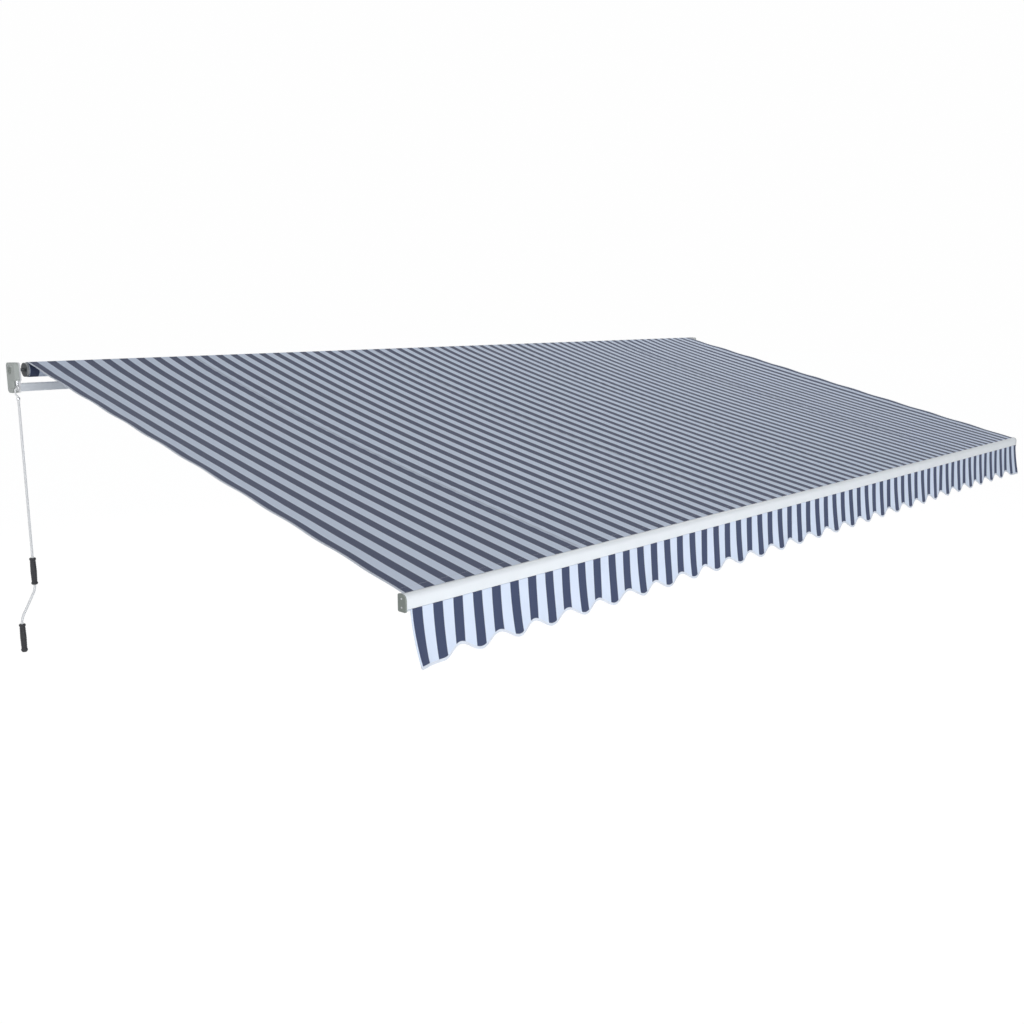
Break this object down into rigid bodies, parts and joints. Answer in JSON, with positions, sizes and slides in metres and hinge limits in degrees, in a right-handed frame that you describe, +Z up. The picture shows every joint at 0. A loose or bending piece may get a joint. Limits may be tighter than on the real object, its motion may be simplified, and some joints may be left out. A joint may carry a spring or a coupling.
{
  "type": "folding arm awning",
  "caption": "Retractable patio awning: striped cloth on a roller, folding arms, front bar with scalloped valance and a hand crank.",
  "frame": {"origin": "middle of the centre wall bracket's back face, on the wall plane", "axes": "+X right as seen by someone facing the wall, +Y into the wall, +Z up"},
  "size_m": [6.0544, 2.9559, 1.4598],
  "materials": {
    "white_paint": "satin white powder coat",
    "cast_paint": "white powder coat on cast metal",
    "grey_housing": "moulded grey housing",
    "bare_steel": "zinc plated steel",
    "zinc_tube": "galvanised tube",
    "crank_paint": "pale grey enamel",
    "grip_plastic": "black moulded grip",
    "cap_plastic": "moulded grey end cap",
    "welt_cord": "plain plastic welt",
    "striped_cloth": "woven awning cloth in navy and off-white bands"
  },
  "bodies": {
    "root": {"torsion_bar": "white_paint", "wall_bracket_left": "cast_paint", "wall_bracket_centre": "cast_paint", "wall_bracket_right": "cast_paint", "bracket_clamp_left": "cast_paint", "bracket_clamp_centre": "cast_paint", "bracket_clamp_right": "cast_paint", "bracket_bolt_left": "bare_steel", "bracket_bolt_centre": "bare_steel", "bracket_bolt_right": "bare_steel", "roller_support_left": "cast_paint", "roller_support_right": "cast_paint", "gearbox_housing": "grey_housing", "idle_bearing_housing": "grey_housing", "shoulder_mount_left": "cast_paint", "shoulder_mount_right": "cast_paint", "pitch_pin_left": "bare_steel", "pitch_pin_right": "bare_steel", "fabric_sheet": "striped_cloth"},
    "roller": {"roller_tube": "zinc_tube", "roller_plug_left": "cast_paint", "roller_plug_right": "cast_paint", "fabric_roll": "striped_cloth"},
    "worm": {"worm_eye": "bare_steel"},
    "crank": {"crank_rod": "crank_paint"},
    "upper_grip": {"upper_grip": "grip_plastic"},
    "lower_grip": {"lower_grip": "grip_plastic"},
    "knuckle_left": {"knuckle_left": "cast_paint", "shoulder_pin_left": "bare_steel"},
    "knuckle_right": {"knuckle_right": "cast_paint", "shoulder_pin_right": "bare_steel"},
    "upper_arm_left": {"shoulder_casting_left": "cast_paint", "upper_arm_tube_left": "white_paint", "elbow_fork_left": "cast_paint", "elbow_pin_left": "bare_steel"},
    "upper_arm_right": {"shoulder_casting_right": "cast_paint", "upper_arm_tube_right": "white_paint", "elbow_fork_right": "cast_paint", "elbow_pin_right": "bare_steel"},
    "forearm_left": {"elbow_eye_left": "cast_paint", "forearm_tube_left": "white_paint", "front_eye_left": "cast_paint"},
    "forearm_right": {"elbow_eye_right": "cast_paint", "forearm_tube_right": "white_paint", "front_eye_right": "cast_paint"},
    "front_bar": {"front_bar": "white_paint", "front_cap_left": "cap_plastic", "front_cap_right": "cap_plastic", "front_fork_left": "cast_paint", "front_fork_right": "cast_paint", "front_pin_left": "bare_steel", "front_pin_right": "bare_steel", "cloth_welt": "welt_cord", "valance_welt": "welt_cord", "valance": "striped_cloth"}
  },
  "joints": [
    {"name": "pitch_left", "type": "hinge", "parent": "root", "child": "knuckle_left", "pos_m": [-2.15, -0.1273, -0.01], "axis": [1, 0, 0], "range_deg": [-8, 18]},
    {"name": "pitch_right", "type": "hinge", "parent": "root", "child": "knuckle_right", "pos_m": [2.15, -0.1273, -0.01], "axis": [1, 0, 0], "range_deg": [-8, 18]},
    {"name": "fold_left", "type": "hinge", "parent": "knuckle_left", "child": "upper_arm_left", "pos_m": [-2.15, -0.1959, -0.02395], "axis": [0, -0.1993, 0.9799], "range_deg": [0, 74.5], "stiffness_Nm_per_rad": 25, "springref_deg": -34.38, "deforming": ["fabric_sheet"]},
    {"name": "elbow_left", "type": "hinge", "parent": "upper_arm_left", "child": "forearm_left", "pos_m": [-1.81728, -1.5036, -0.28996], "axis": [0, 0.1993, -0.9799], "range_deg": [0, 149]},
    {"name": "front_left", "type": "hinge", "parent": "forearm_left", "child": "front_bar", "pos_m": [-2.15, -2.8113, -0.55596], "axis": [0, -0.1993, 0.9799], "range_deg": [0, 74.5]},
    {"name": "fold_right", "type": "hinge", "parent": "knuckle_right", "child": "upper_arm_right", "pos_m": [2.15, -0.1959, -0.02395], "axis": [0, 0.1993, -0.9799], "range_deg": [0, 74.5]},
    {"name": "elbow_right", "type": "hinge", "parent": "upper_arm_right", "child": "forearm_right", "pos_m": [1.81728, -1.5036, -0.28996], "axis": [0, -0.1993, 0.9799], "range_deg": [0, 149]},
    {"name": "roller_spin", "type": "hinge", "parent": "root", "child": "roller", "pos_m": [0, -0.075, 0.085], "axis": [-1, 0, 0], "range_deg": [0, 3600.5]},
    {"name": "worm_spin", "type": "hinge", "parent": "root", "child": "worm", "pos_m": [-2.97315, -0.122, 0.002], "axis": [0, 0, 1], "range_deg": [0, 39601]},
    {"name": "crank_swing", "type": "hinge", "parent": "worm", "child": "crank", "pos_m": [-2.97315, -0.122, 0.002], "axis": [-1, 0, 0], "range_deg": [-4, 50]},
    {"name": "upper_grip_spin", "type": "hinge", "parent": "crank", "child": "upper_grip", "pos_m": [-2.97315, -0.122, -0.926], "axis": [0, 0, 1], "continuous": true},
    {"name": "lower_grip_spin", "type": "hinge", "parent": "crank", "child": "lower_grip", "pos_m": [-3.05315, -0.122, -1.259], "axis": [0, 0, 1], "continuous": true}
  ],
  "couplings": [
    {"joint": "pitch_right", "follows": "pitch_left", "ratio": 1},
    {"joint": "elbow_left", "follows": "fold_left", "ratio": 2},
    {"joint": "front_left", "follows": "fold_left", "ratio": 1},
    {"joint": "fold_right", "follows": "fold_left", "ratio": 1},
    {"joint": "elbow_right", "follows": "fold_left", "ratio": 2},
    {"joint": "roller_spin", "follows": "fold_left", "ratio": 48.322},
    {"joint": "worm_spin", "follows": "fold_left", "ratio": 531.54}
  ]
}
